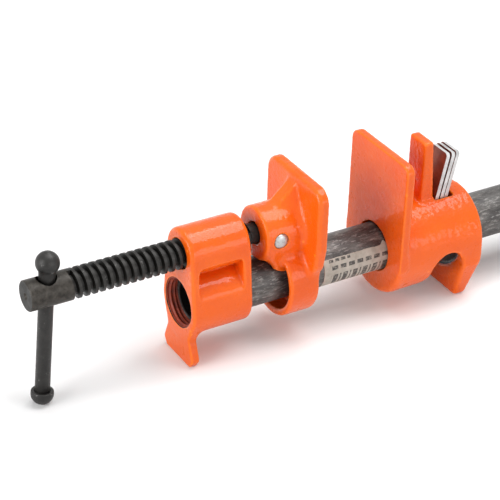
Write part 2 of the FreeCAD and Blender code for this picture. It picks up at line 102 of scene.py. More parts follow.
def polygon(u, v, points):
    """Distance to a closed outline, negative inside."""
    u, v = np.broadcast_arrays(u, v)
    best = np.full(u.shape, 1e9)
    inside = np.zeros(u.shape, bool)
    for (au, av), (bu, bv) in zip(points, points[1:] + points[:1]):
        eu, ev = bu - au, bv - av
        wu, wv = u - au, v - av
        t = np.clip((wu * eu + wv * ev) / (eu * eu + ev * ev), 0, 1)
        best = np.minimum(best, (wu - eu * t) ** 2 + (wv - ev * t) ** 2)
        crosses = (av > v) != (bv > v)
        if ev:
            inside ^= crosses & (wu < eu * wv / ev)
    return np.where(inside, -1, 1) * np.sqrt(best)


def mirrored(points):
    return points + [(-u, v) for u, v in reversed(points)]


def both(a, b, r):
    """Intersection whose edge is rounded."""
    return np.minimum(-r, np.maximum(a, b)) + np.hypot(np.maximum(a + r, 0), np.maximum(b + r, 0))


def join(a, b, r):
    """Union with a fillet of that radius."""
    return np.maximum(r, np.minimum(a, b)) - np.hypot(np.maximum(r - a, 0), np.maximum(r - b, 0))


def cut(a, b, r):
    """a less b, with the new edge rounded."""
    return both(a, -b, r)


def sample(field, grid, points):
    """Field values at points, interpolated between the grid's points."""
    q = (points - grid.low) / grid.step
    cell = np.clip(np.floor(q).astype(int), 0, np.array(grid.shape) - 2)
    f = q - cell
    total = np.zeros(len(points))
    for i in (0, 1):
        for j in (0, 1):
            for k in (0, 1):
                weight = np.abs(1 - i - f[:, 0]) * np.abs(1 - j - f[:, 1]) * np.abs(1 - k - f[:, 2])
                total += weight * field[cell[:, 0] + i, cell[:, 1] + j, cell[:, 2] + k]
    return total


def gradient(field, grid, points):
    h = grid.step * 0.75
    parts = []
    for axis in range(3):
        offset = np.zeros(3)
        offset[axis] = h
        parts.append(sample(field, grid, points + offset) - sample(field, grid, points - offset))
    return np.stack(parts, 1) / (2 * h)


def skin(field, grid):
    """Quads over the field's zero level: one vertex in each cell that the level passes through."""
    n = np.array(grid.shape) - 1
    corners = [(i, j, k) for i in (0, 1) for j in (0, 1) for k in (0, 1)]

    def at(c):
        return field[c[0]:n[0] + c[0], c[1]:n[1] + c[1], c[2]:n[2] + c[2]]

    inside = sum((at(c) < 0).astype(np.int8) for c in corners)
    cells = np.argwhere((inside > 0) & (inside < 8))
    index = np.full(tuple(n), -1)
    index[tuple(cells.T)] = np.arange(len(cells))
    total = np.zeros((len(cells), 3))
    count = np.zeros(len(cells))
    for a in corners:
        for axis in range(3):
            if a[axis]:
                continue
            b = tuple(1 if i == axis else a[i] for i in range(3))
            va = field[tuple((cells + a).T)]
            vb = field[tuple((cells + b).T)]
            hit = (va < 0) != (vb < 0)
            t = np.where(hit, va / np.where(hit, va - vb, 1), 0)
            point = np.tile(np.array(a, float), (len(cells), 1))
            point[:, axis] = t
            total += point * hit[:, None]
            count += hit
    points = grid.low + (cells + total / count[:, None]) * grid.step

    quads = []
    for axis in range(3):
        u, v = (axis + 1) % 3, (axis + 2) % 3
        first = [slice(None)] * 3
        second = [slice(None)] * 3
        first[axis], second[axis] = slice(0, -1), slice(1, None)
        fa, fb = field[tuple(first)], field[tuple(second)]
        edges = np.argwhere((fa < 0) != (fb < 0))
        edges = edges[(edges[:, u] > 0) & (edges[:, v] > 0) & (edges[:, u] < n[u]) & (edges[:, v] < n[v])]
        ring = []
        for du, dv in ((1, 1), (0, 1), (0, 0), (1, 0)):
            c = edges.copy()
            c[:, u] -= du
            c[:, v] -= dv
            ring.append(index[tuple(c.T)])
        ring = np.stack(ring, 1)
        outward = fa[tuple(edges.T)] < 0
        quads.append(np.where(outward[:, None], ring, ring[:, ::-1]))
    return points, np.concatenate(quads)


def cast_piece(name, field, grid, roughness, seed):
    """Mesh of a casting: the field's skin, with the slight unevenness that sand leaves."""
    points, quads = skin(field, grid)
    for _ in range(2):
        slope = gradient(field, grid, points)
        length = np.maximum((slope ** 2).sum(1), 0.2)
        points -= slope * (sample(field, grid, points) / length)[:, None]
    slope = gradient(field, grid, points)
    slope /= np.linalg.norm(slope, axis=1)[:, None]
    bumps = np.array([
        noise.noise(Vector(p) * 0.55 + Vector((seed, 0, 0))) + 0.6 * noise.noise(Vector(p) * 1.4)
        for p in points
    ])
    points += slope * (bumps * roughness)[:, None]
    return new_mesh(name, points, quads)


# ---------------------------------------------------------------- meshes

def new_mesh(name, points, faces):
    """Smooth object from points in millimetres, moved into the frame's place and metres."""
    mesh = bpy.data.meshes.new(name)
    placed = (np.asarray(points, float) + np.array(SHIFT)) * MM
    corners = faces if isinstance(faces, list) else faces.tolist()
    mesh.from_pydata(placed.tolist(), [], corners)
    mesh.update()
    mesh.shade_smooth()
    piece = bpy.data.objects.new(name, mesh)
    bpy.context.scene.collection.objects.link(piece)
    return piece


def axis_matrix(origin, direction):
    """Matrix that takes local Z to a direction, with its origin at a point."""
    turn = Vector((0, 0, 1)).rotation_difference(Vector(direction).normalized()).to_matrix().to_4x4()
    return Matrix.Translation(Vector(origin)) @ turn


def lathe(name, profile, matrix, segments=96):
    """Closed solid of revolution. profile is (radius, height) pairs; a zero radius is a pole."""
    points, rings = [], []
    for r, z in profile:
        if r < 1e-6:
            rings.append([len(points)])
            points.append((0, 0, z))
            continue
        rings.append(list(range(len(points), len(points) + segments)))
        for i in range(segments):
            a = math.tau * i / segments
            points.append((r * math.cos(a), r * math.sin(a), z))
    faces = []
    pairs = list(zip(rings, rings[1:]))
    if len(rings[0]) > 1 or len(rings[-1]) > 1:
        pairs.append((rings[-1], rings[0]))
    for low, high in pairs:
        for i in range(segments):
            j = (i + 1) % segments
            if len(low) == 1:
                faces.append((low[0], high[j], high[i]))
            elif len(high) == 1:
                faces.append((low[i], low[j], high[0]))
            else:
                faces.append((low[i], low[j], high[j], high[i]))
    placed = [matrix @ Vector(p) for p in points]
    return new_mesh(name, placed, faces)


def arc(cr, cz, radius, start, end, steps=10):
    """Points of a circular arc in the lathe's (radius, height) plane, with angles in degrees."""
    out = []
    for i in range(steps + 1):
        a = math.radians(start + (end - start) * i / steps)
        out.append((cr + radius * math.cos(a), cz + radius * math.sin(a)))
    return out


# ---------------------------------------------------------------- materials

class Nodes:
    """Short way to write a node material."""

    def __init__(self, name):
        self.material = bpy.data.materials.new(name)
        self.material.use_nodes = True
        self.tree = self.material.node_tree
        self.shader = self.tree.nodes["Principled BSDF"]

    def add(self, kind, **sockets):
        node = self.tree.nodes.new("ShaderNode" + kind)
        for key, entry in sockets.items():
            self.feed(node.inputs[key.replace("_", " ")], entry)
        return node

    def feed(self, socket, entry):
        if isinstance(entry, bpy.types.NodeSocket):
            self.tree.links.new(entry, socket)
        else:
            socket.default_value = entry

    def place(self):
        """X, Y and Z of the point, in metres."""
        return self.add("SeparateXYZ", Vector=self.add("TexCoord").outputs["Object"]).outputs

    def facing(self):
        """How far the surface faces along X, from -1 to 1."""
        return self.add("SeparateXYZ", Vector=self.add("NewGeometry").outputs["Normal"]).outputs["X"]

    def noise(self, scale, detail=3.0, rough=0.5, where=None):
        if where is None:
            where = self.add("TexCoord").outputs["Object"]
        node = self.add("TexNoise", Vector=where, Scale=scale, Detail=detail, Roughness=rough)
        return node.outputs["Fac"]

    def ramp(self, value, *stops):
        node = self.add("ValToRGB", Fac=value)
        elements = node.color_ramp.elements
        while len(elements) < len(stops):
            elements.new(0.5)
        for element, (place, colour) in zip(elements, stops):
            element.position = place
            element.color = (*colour, 1) if isinstance(colour, tuple) else (colour, colour, colour, 1)
        return node.outputs["Color"]

    def mix(self, factor, a, b):
        """Colour a where the factor is 0, and b where it is 1."""
        node = self.tree.nodes.new("ShaderNodeMix")
        node.data_type = "RGBA"
        self.feed(node.inputs[0], factor)
        self.feed(node.inputs[6], a if isinstance(a, bpy.types.NodeSocket) else (*a, 1))
        self.feed(node.inputs[7], b if isinstance(b, bpy.types.NodeSocket) else (*b, 1))
        return node.outputs[2]

    def math(self, operation, a, b=0.0):
        node = self.tree.nodes.new("ShaderNodeMath")
        node.operation = operation
        self.feed(node.inputs[0], a)
        self.feed(node.inputs[1], b)
        return node.outputs[0]

    def bump(self, height, distance, strength=1.0, normal=None):
        node = self.add("Bump", Height=height, Distance=distance, Strength=strength)
        if normal:
            self.feed(node.inputs["Normal"], normal)
        return node.outputs["Normal"]

    def set(self, **sockets):
        for key, entry in sockets.items():
            self.feed(self.shader.inputs[key.replace("_", " ")], entry)
        return self.material


def within(m, value, low, high):
    """1 between two limits of a value, and 0 elsewhere."""
    return m.math("MULTIPLY", m.math("GREATER_THAN", value, low), m.math("LESS_THAN", value, high))


def pipe_radius(m):
    """Distance from the pipe's axis, in metres."""
    place = m.place()
    rise = m.math("SUBTRACT", place["Z"], SHIFT.z * MM)
    squares = m.math("ADD", m.math("MULTIPLY", place["Y"], place["Y"]), m.math("MULTIPLY", rise, rise))
    return m.math("SQRT", squares)


def orange_enamel(name, painted_shade_inside, start, end):
    """Gloss paint on sand-cast iron, with painted highlight on convex edges, pooled paint and painted shade
    in creases, and near black painted shade inside a radius between two stations.
    """
    m = Nodes(name)
    shade = m.ramp(m.noise(55, 4), (0.3, (0.80, 0.098, 0.003)), (0.7, (0.87, 0.128, 0.004)))
    bend = m.add("NewGeometry").outputs["Pointiness"]
    # Painted highlight: convex edges, found by pointiness, are made a lighter orange.
    painted_edge_highlight = m.ramp(bend, (0.505, 0.0), (0.56, 1.0))
    # Pooled paint and painted shade: creases are made a darker red.
    pooled_paint_and_crease_shade = m.ramp(bend, (0.43, 1.0), (0.492, 0.0))
    colour = m.mix(painted_edge_highlight, shade, (0.98, 0.20, 0.012))
    colour = m.mix(m.math("MULTIPLY", pooled_paint_and_crease_shade, 0.6), colour, (0.52, 0.030, 0.002))
    # Painted shade: near black inside the given radius between the two stations, in the bores and the
    # clutch chamber.
    zone = within(m, m.place()["X"], (SHIFT.x + start) * MM, (SHIFT.x + end) * MM)
    inside = m.math("MULTIPLY", m.math("LESS_THAN", pipe_radius(m), painted_shade_inside * MM), zone)
    colour = m.mix(inside, colour, (0.010, 0.007, 0.006))
    fine = m.bump(m.noise(1600, 3, 0.6), 0.00014, 0.9)
    sand = m.bump(m.noise(750, 3, 0.6), 0.00026, 0.8, fine)
    waves = m.bump(m.noise(230, 2), 0.00020, 0.5, sand)
    rough = m.ramp(m.noise(300, 3), (0.3, 0.26), (0.7, 0.40))
    return m.set(Base_Color=colour, Roughness=rough, Normal=waves, Coat_Weight=0.4, Coat_Roughness=0.1,
                 Specular_IOR_Level=0.12)


def socket_enamel():
    """Enamel in the socket's thread, made dark red as painted shade inside the socket."""
    m = Nodes("socket_enamel")
    # Painted shade: the thread's enamel is much darker red than the outside paint.
    shade = m.ramp(m.noise(400, 4), (0.3, (0.20, 0.018, 0.004)), (0.7, (0.40, 0.045, 0.008)))
    return m.set(Base_Color=shade, Roughness=0.5, Normal=m.bump(m.noise(1500, 3), 0.00004, 0.6))


def rubbed_sides_shaded_end(m, colour, station):
    """The colour, but with rubbed brown sides short of a place along X, and the end face painted dark as
    shade.
    """
    end_face = -0.9
    facing = m.facing()
    short = m.math("LESS_THAN", m.place()["X"], station)
    rubbed = m.math("MULTIPLY", short, m.math("GREATER_THAN", facing, end_face))
    brown = m.ramp(m.noise(500, 4, 0.65), (0.3, (0.018, 0.015, 0.012)), (0.7, (0.060, 0.053, 0.045)))
    colour = m.mix(rubbed, colour, brown)
    # Painted shade: the end face, facing back along X, is made near black.
    return m.mix(m.math("LESS_THAN", facing, end_face), colour, (0.010, 0.0095, 0.008))


def black_oxide(name, low, high, worn, shine, handled=None):
    """Dark oxide with fine scuffs and drag marks. handled is where a rubbed end stops; its end face is then
    painted dark as shade.
    """
    m = Nodes(name)
    tint = (1.0, 0.94, 0.88)
    dark, light = tuple(low * t for t in tint), tuple(high * t for t in tint)
    shade = m.ramp(m.noise(260, 5, 0.6), (0.3, dark), (0.75, light))
    scuff = m.ramp(m.noise(1500, 5, 0.75), (0.63, 0.0), (0.74, 1.0))
    drag = m.ramp(m.noise(420, 4, 0.7), (0.64, 0.0), (0.70, 1.0))
    wear = m.math("MAXIMUM", m.math("MULTIPLY", scuff, 0.35), m.math("MULTIPLY", drag, 0.5))
    colour = m.mix(wear, shade, (worn, worn * 0.97, worn * 0.93))
    if handled is not None:
        colour = rubbed_sides_shaded_end(m, colour, handled)
    bump = m.bump(m.noise(900, 4, 0.6), 0.00007, 0.8)
    roughness = m.ramp(m.noise(300, 3), (0.3, 0.36), (0.7, 0.51))
    return m.set(Base_Color=colour, Metallic=shine * 0.7, Roughness=roughness, Normal=bump,
                 Specular_IOR_Level=shine)


def zinc(name, base, rough):
    """Plated steel with darker stains in its pits."""
    m = Nodes(name)
    shade = m.ramp(m.noise(300, 4, 0.6), (0.3, base * 0.8), (0.7, base))
    stain = m.ramp(m.noise(700, 4, 0.7), (0.50, 0.0), (0.62, 0.75))
    stained = m.mix(stain, shade, (base * 0.3, base * 0.28, base * 0.27))
    bump = m.bump(m.noise(700, 4, 0.7), 0.00012, 0.7)
    return m.set(Base_Color=stained, Metallic=0.7, Roughness=rough, Normal=bump)


def clutch_steel():
    """Stamped steel: bright sheared edges, brown faces with a painted reflection of the orange casting in
    their red tone, near black bevels between them, and near black painted shade inside the chamber.
    """
    m = Nodes("clutch_steel")
    bright = m.ramp(m.noise(180, 3, 0.5), (0.3, 0.42), (0.6, 0.66))
    facing = m.math("ABSOLUTE", m.facing())
    face = m.math("GREATER_THAN", facing, 0.9)
    # Brown faces: their red-brown tone is partly a painted reflection of the orange casting.
    brown = m.ramp(m.noise(260, 4, 0.6), (0.3, (0.17, 0.045, 0.025)), (0.7, (0.30, 0.085, 0.045)))
    colour = m.mix(face, bright, brown)
    # Near black on the bevels between the faces and the edges.
    colour = m.mix(within(m, facing, 0.35, 0.9), colour, (0.035, 0.030, 0.028))
    # Painted shade: the plates are made near black inside the chamber.
    inside = m.math("LESS_THAN", pipe_radius(m), 19.2 * MM)
    colour = m.mix(inside, colour, (0.010, 0.009, 0.008))
    bump = m.bump(m.noise(900, 3), 0.00002, 0.5)
    return m.set(Base_Color=colour, Metallic=0.35, Roughness=0.32, Normal=bump)


def black_pipe():
    """Mill scale drawn out along the pipe, with bright specks, and the bore painted near black as shade."""
    m = Nodes("black_pipe_scale")
    where = m.add("TexCoord").outputs["Object"]
    stretched = m.add("Mapping", Vector=where, Scale=(0.3, 1.0, 1.0)).outputs[0]
    broad = m.noise(230, 7.0, 0.7, stretched)
    fine = m.noise(1100, 4.0, 0.7, stretched)
    dark, middle, light = (0.026, 0.023, 0.023), (0.070, 0.065, 0.062), (0.17, 0.162, 0.152)
    shade = m.ramp(broad, (0.34, dark), (0.5, middle), (0.66, light))
    speck = m.ramp(fine, (0.53, 0.0), (0.66, 1.0))
    colour = m.mix(m.math("MULTIPLY", speck, 0.45), shade, (0.44, 0.425, 0.40))
    # Painted shade: near black inside the pipe's bore.
    bore = m.math("LESS_THAN", pipe_radius(m), 8.8 * MM)
    colour = m.mix(bore, colour, (0.006, 0.0055, 0.005))
    bump = m.bump(fine, 0.00006, 0.8, m.bump(broad, 0.00015, 0.5))
    rough = m.ramp(broad, (0.3, 0.34), (0.7, 0.52))
    return m.set(Base_Color=colour, Metallic=0.4, Roughness=rough, Normal=bump)


def stripes(m, value, period, share, start, end):
    """1 in evenly spaced bars between two limits of a coordinate, and 0 elsewhere."""
    phase = m.math("FRACT", m.math("DIVIDE", value, period))
    bar = m.math("LESS_THAN", phase, share)
    return m.math("MULTIPLY", bar, within(m, value, start, end))


def paper():
    """Printed paper with two rows of dashes and a row of evenly spaced ticks."""
    m = Nodes("label_paper")
    place = m.place()
    along = m.math("SUBTRACT", place["X"], (SHIFT.x + LABEL_START) * MM)
    rise = m.math("SUBTRACT", place["Z"], SHIFT.z * MM)
    round_pipe = m.math("ARCTAN2", m.math("MULTIPLY", place["Y"], -1.0), rise)
    turned = m.math("MULTIPLY", round_pipe, math.degrees(1.0))
    ticks = m.math("MAXIMUM", stripes(m, along, 0.0017, 0.42, 0.004, 0.0385),
                   stripes(m, along, 0.0051, 0.46, 0.004, 0.0385))
    ink = m.math("MULTIPLY", ticks, within(m, turned, 97.0, 132.0))
    for low, high, period, end in ((58.0, 65.0, 0.0031, 0.014), (74.0, 84.0, 0.0043, 0.041)):
        dash = m.math("MULTIPLY", stripes(m, along, period, 0.7, 0.003, end), within(m, turned, low, high))
        ink = m.math("MAXIMUM", ink, dash)
    ink = m.math("MULTIPLY", ink, m.ramp(m.noise(900, 4, 0.7), (0.36, 0.35), (0.5, 0.92)))
    sheet = m.ramp(m.noise(240, 5, 0.65), (0.3, (0.33, 0.30, 0.25)), (0.7, (0.50, 0.47, 0.41)))
    bump = m.bump(m.noise(500, 4, 0.6), 0.00006, 0.6)
    return m.set(Base_Color=m.mix(ink, sheet, (0.025, 0.023, 0.022)), Roughness=0.55, Normal=bump)


def dress(obj, material):
    obj.data.materials.clear()
    obj.data.materials.append(material)


# ---------------------------------------------------------------- castings

STEP = 0.42


def shifted(grid, x):
    """Make a grid's points read as if it stood farther along X."""
    grid.low = grid.low + np.array((x, 0.0, 0.0))
    return grid


def capsule(g, drop, r_low, r_high, height):
    """Hull of two circles, one near the pipe's axis and one above it."""
    u, v = np.abs(g.y), g.z + drop
    height = height + drop
    b = (r_low - r_high) / height
    a = math.sqrt(1 - b * b)
    k = -b * u + a * v
    flank = a * u + b * v - r_low
    low = np.hypot(u, v) - r_low
    high = np.hypot(u, v - height) - r_high
    return np.where(k < 0, low, np.where(k > a * height, high, flank))


def head_casting():
    """Slab round the pipe socket and the screw's hole, pocketed on both sides between them, on a foot."""
    g = Grid((-1.5, -16, -29), (30.5, 16, 37), STEP)
    ends = slab(g.x, 0, HEAD_LENGTH)
    rounding = 1.5 + 0.7 * np.clip((g.z - 18) / 10, 0, 1)
    body = both(capsule(g, 1.0, 13.7, 11.1, SCREW_HEIGHT), ends, rounding)
    lower = disc(g.y, g.z, 0, 0, 14.4)
    upper = disc(g.y, g.z, 0, SCREW_HEIGHT, 10.2)
    window = rounded_box(g.x, g.z, 14.1, 12.45, 10.4, 8.45, 2.5)
    pocket = both(window, 2.6 - np.abs(g.y), 1.5)
    pocket = cut(pocket, join(lower, upper, 1.0), 1.0)
    lip = 0.25 + 0.95 * np.clip((g.z - 6) / 4, 0, 1) - 0.7 * np.clip((g.z - 14) / 5, 0, 1)
    body = cut(body, pocket, lip)
    foot = mirrored([
        (9.9, GROUND), (12.2, -24.3), (12.2, -22.8), (11.2, -20.0), (10.2, -17.4), (8.9, -14.0), (8.5, -6.0)
    ])
    leg = both(polygon(g.y, g.z, foot), slab(g.x, 0, 4.2), 0.9)
    body = join(body, leg, 3.8)
    body = both(body, ends, 0.6)
    body = both(body, GROUND - g.z, 0.5)
    socket, screw_hole = 11.05, 6.75
    body = cut(body, disc(g.y, g.z, 0, 0, socket), 0.3)
    body = cut(body, disc(g.y, g.z, 0, SCREW_HEIGHT, screw_hole), 0.4)
    return cast_piece("head_shell", body, g, 0.05, 3.0)


def socket_thread():
    """Threaded lining of the pipe socket. One of its crests passes the top at crest_station."""
    pitch, inner, deep, wall = 1.814, 9.80, 1.0, 11.1
    crest_station, fade_length = 4.49, 1.2
    start, end, steps, turns = 0.55, 19.6, 6, 96
    points, faces = [], []
    rows = int((end - start) / pitch * steps) + 1
    for i in range(rows + 1):
        x = start + (end - start) * i / rows
        for j in range(turns):
            phase = ((x - crest_station) / pitch - j / turns) % 1.0
            tooth = 1 - abs(2 * phase - 1)
            fade = min(1.0, (x - start) / fade_length)
            r = inner + deep * max(min(tooth * 1.25 - 0.05, 1.0), 0.0) * fade + (1 - fade) * deep
            a = math.tau * j / turns
            points.append((x, -r * math.sin(a), r * math.cos(a)))
    for x in (end, start):
        for j in range(turns):
            a = math.tau * j / turns
            points.append((x, -wall * math.sin(a), wall * math.cos(a)))
    for i in range(rows + 3):
        low, high = i * turns, ((i + 1) % (rows + 3)) * turns
        for j in range(turns):
            k = (j + 1) % turns
            faces.append((low + j, low + k, high + k, high + j))
    return new_mesh("socket_thread", points, faces)


def plate(g, low, high, outline, corner, front, back):
    """Flat plate along X with a rounded outline, and an edge radius on each face."""
    shape = polygon(g.y, g.z, outline) - corner
    half = both(shape, low - g.x, front)
    return both(half, g.x - high, back)


def sliding_jaw():
    """Plate with a boss for the screw, a ring round the pipe, a web between them and a rib on top."""
    g = Grid((-25, -23, -19.5), (1.5, 23, 50.5), STEP)
    outline = mirrored([(8.4, 6.6), (13.1, 13.2), (14.5, 20.6), (14.5, 41.1)])
    body = plate(g, -PLATE_THICKNESS, 0.0, outline, 7.0, 2.0, 0.8)
    ring_radius, ring_length, ring_hollow = 17.6, 14.3, 14.8
    ring = both(disc(g.y, g.z, 0, -0.5, ring_radius), slab(g.x, -ring_length, 0), 1.4)
    body = join(body, ring, 2.5)
    body = cut(body, both(disc(g.y, g.z, 0, 0, ring_hollow), g.x + 5.5, 1.0), 1.2)
    flank = [(-20.3, 14.0), (-17.6, 8.6), (-14.0, 6.0), (-2.0, 6.0), (-2.0, 26.0), (-20.3, 26.0)]
    web = both(polygon(g.x, g.z, flank), np.abs(g.y) - 9.5, 2.0)
    body = join(body, web, 2.5)
    boss_radius, boss_length = 11.8, 23.4
    boss = both(disc(g.y, g.z, 0, SCREW_HEIGHT, boss_radius), slab(g.x, -boss_length, 0), 1.3)
    body = join(body, boss, 4.0)
    slope, flare = 0.98, 0.453
    rise = 45.2 + slope * (g.x + 4.8)
    sides = (np.abs(g.y) - 3.0 - (rise - g.z) * flare) / math.hypot(1, flare)
    ridge = both(sides, (g.z - rise) / math.hypot(1, slope), 0.8)
    rib = np.maximum(ridge, np.maximum(28.5 - g.z, slab(g.x, -16.0, -2.0)))
    body = join(body, rib, 1.6)
    body = both(body, slab(g.x, -60, 0), 0.4)
    pipe_hole, screw_hole, pin_hole = 11.15, 4.95, 3.35
    body = cut(body, disc(g.y, g.z, 0, 0, pipe_hole), 0.6)
    body = cut(body, both(disc(g.y, g.z, 0, SCREW_HEIGHT, screw_hole), g.x + 6.8, 0.3), 0.8)
    body = cut(body, both(disc(g.x, g.z, -PIN_SETBACK, SCREW_HEIGHT, pin_hole), g.y, 0.2), 0.5)
    return cast_piece("screw_jaw_casting", body, shifted(g, JAW_FACE), 0.08, 11.0)


def tail_jaw():
    """Plate and round body with a chamber for the clutch, its slot and arch, a tab and a foot."""
    g = Grid((-1.5, -23.5, -29), (47, 23.5, 50.5), STEP)
    outline = mirrored([(17.3, -0.7), (17.3, 44.6)])
    body = plate(g, 0, PLATE_THICKNESS, outline, 4.3, 0.8, 2.0)
    front_radius, taper = 21.3, 0.5 / 40.3
    radius = front_radius - (g.x - PLATE_THICKNESS) * taper
    chin = 1.4 + 1.8 * np.clip(-g.z / 12, 0, 1) * np.clip((24 - g.x) / 8, 0, 1)
    barrel = both(np.hypot(g.y, g.z + 0.7) - radius, slab(g.x, 0, TAIL_LENGTH), chin)
    body = join(body, barrel, 1.5)
    tab_outline = [(21.0, 10.0), (26.2, 10.0), (23.4, 47.3), (21.0, 47.3)]
    tab = both(polygon(g.x, g.z, tab_outline) - 1.2, np.abs(g.y) - 6.0, 1.2)
    body = join(body, tab, 1.8)
    leg = mirrored([(14.9, -24.6), (18.4, -10.0), (15.0, 0.0)])
    foot_front, foot_rear, lean = 34.1, 41.0, 0.24
    rear = (g.x - foot_rear - lean * (g.z - GROUND)) / math.hypot(1, lean)
    foot = both(polygon(g.y, g.z, leg) - 2.7, np.maximum(foot_front - g.x, rear), 2.4)
    body = join(body, foot, 2.5)
    chamber = both(disc(g.y, g.z, 0, 0, CHAMBER_RADIUS), slab(g.x, CHAMBER_FRONT, CHAMBER_REAR), 1.0)
    body = cut(body, chamber, 0.5)
    slot = both(rounded_box(g.x, g.y, 32.1, 0, 5.1, 6.3, 0.9), 9.0 - g.z, 0.5)
    body = cut(body, slot, 0.5)
    arch_centre, arch_height, arch_radius = 27.5, -8.8, 7.8
    below = np.clip(arch_height - g.z, 0, 30)
    left = 19.7 - 0.05 * np.clip(below - 1.5, 0, 30) ** 2
    right = 35.3 - 1.2 * np.clip(below / 6, 0, 1)
    top = disc(g.x, g.z, arch_centre, arch_height, arch_radius)
    arch = np.where(g.z < arch_height, slab(g.x, left, right), top)
    body = cut(body, arch + 0.0 * g.y, 1.3)
    body = both(body, slab(g.x, 0, TAIL_LENGTH), 0.4)
    half_width, pipe_hole = 21.6, 11.4
    body = np.maximum(body, np.abs(g.y) - half_width)
    body = both(body, GROUND - g.z, 0.5)
    body = cut(body, disc(g.y, g.z, 0, 0, pipe_hole), 0.8)
    return cast_piece("tail_jaw_casting", body, shifted(g, TAIL_FACE), 0.07, 23.0)


head = head_casting()
thread = socket_thread()
jaw = sliding_jaw()
tail = tail_jaw()
# Last in each row: the radius inside which the enamel is painted near black as shade, and the stations
# between which it is.
for piece, node, body, painted_shade_inside in (
    (head, "head_casting", "bar_and_head", (11.2, -1.0, 30.0)),
    (jaw, "sliding_jaw", "screw_jaw", (11.3, 35.0, 58.0)),
    (tail, "tail_jaw", "tail_jaw", (17.2, TAIL_FACE + 18.5, TAIL_FACE + 36.2)),
):
    dress(piece, orange_enamel(node + "_enamel", *painted_shade_inside))
    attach(piece, body)
    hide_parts(node)
dress(thread, socket_enamel())
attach(thread, "bar_and_head")


# ---------------------------------------------------------------- handle and pin

LEAN = (0.10286, 0.07052, 0.99219)
BALL_REACH, BALL_RADIUS = 12.25, 5.0
KNOB_REACH, KNOB_RADIUS = 46.765, 4.84
RUBBED_TO = -50.2

handle_frame = axis_matrix((HANDLE_STATION, 0, SCREW_HEIGHT), LEAN)
ball = [(0, 17.2), (1.5, 17.1)] + arc(0, BALL_REACH, BALL_RADIUS, 72, -38, 24)
neck = [(3.66, 8.6), (3.52, 7.6), (3.5, 6.0), (3.3, 4.6)]
shank = [(3.18, 3.5), (3.18, -47.6), (2.9, -47.9), (0, -47.9)]
rod = ball + neck + shank
bar = lathe("handle_rod", rod[::-1], handle_frame)
button = [(0, -51.615)] + arc(0, -KNOB_REACH, KNOB_RADIUS, -84, 12, 20)
button += arc(4.25, -45.765, 0.5, 20, 90, 5)
button += [(3.35, -45.265), (3.2, -45.4), (3.19, -47.93), (0, -47.93)]
knob = lathe("handle_button", button, handle_frame)
pin_frame = axis_matrix((JAW_FACE - PIN_SETBACK, 0, SCREW_HEIGHT), (0, -1, 0))
dome = [(0, 12.45), (1.2, 12.4), (2.2, 12.25), (2.9, 11.95), (3.25, 11.5), (3.3, 11.0)]
pin = lathe("spindle_pin_head", [(0, 3.12), (3.3, 3.12)] + dome[::-1], pin_frame, 48)

oxide = black_oxide("black_oxide_handle", 0.014, 0.030, 0.26, 0.35)
oxide_screw = black_oxide("black_oxide_screw", 0.016, 0.036, 0.30, 0.22, (SHIFT.x + RUBBED_TO) * MM)
for piece, node, body in ((bar, "handle_bar", "handle"), (knob, "handle_knob", "handle")):
    dress(piece, oxide)
    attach(piece, body)
    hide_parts(node)
dress(pin, zinc("pin_zinc", 0.5, 0.32))
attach(pin, "screw_jaw")
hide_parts("spindle_pin")

# ---------------------------------------------------------------- clutch spring

COIL_FRONT, COIL_WALL = TAIL_FACE + 30.65, TAIL_FACE + 35.3
PLATE_LEAN = 12.5


def clutch_coil():
    """Spring wound from the rear clutch plate's leaning back to the chamber's rear wall."""
    radius, wire, turns, steps, sides = 12.9, 0.4, 2.0, 144, 10
    lean = math.tan(math.radians(PLATE_LEAN))
    points, faces = [], []
    for i in range(steps + 1):
        part = i / steps
        a = math.tau * turns * part
        start = COIL_FRONT + radius * math.cos(a) * lean
        x = start + (COIL_WALL - start) * part
        for j in range(sides):
            b = math.tau * j / sides
            r = radius + wire * math.cos(b)
            points.append((x + wire * math.sin(b), r * math.sin(a), r * math.cos(a)))
    for i in range(steps):
        for j in range(sides):
            k = (j + 1) % sides
            low, high = i * sides, (i + 1) * sides
            faces.append((low + k, low + j, high + j, high + k))
    faces.append(list(range(sides)))
    faces.append([steps * sides + j for j in range(sides - 1, -1, -1)])
    return new_mesh("clutch_coil", points, faces)


coil = clutch_coil()
dress(coil, zinc("spring_steel", 0.35, 0.3))
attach(coil, "tail_jaw")
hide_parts("clutch_spring")
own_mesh(coil)

# ---------------------------------------------------------------- label

LABEL_LENGTH, LABEL_LIFT = 45.9, 0.14
LABEL_TOP, LABEL_WRAP = 46.0, 159.0


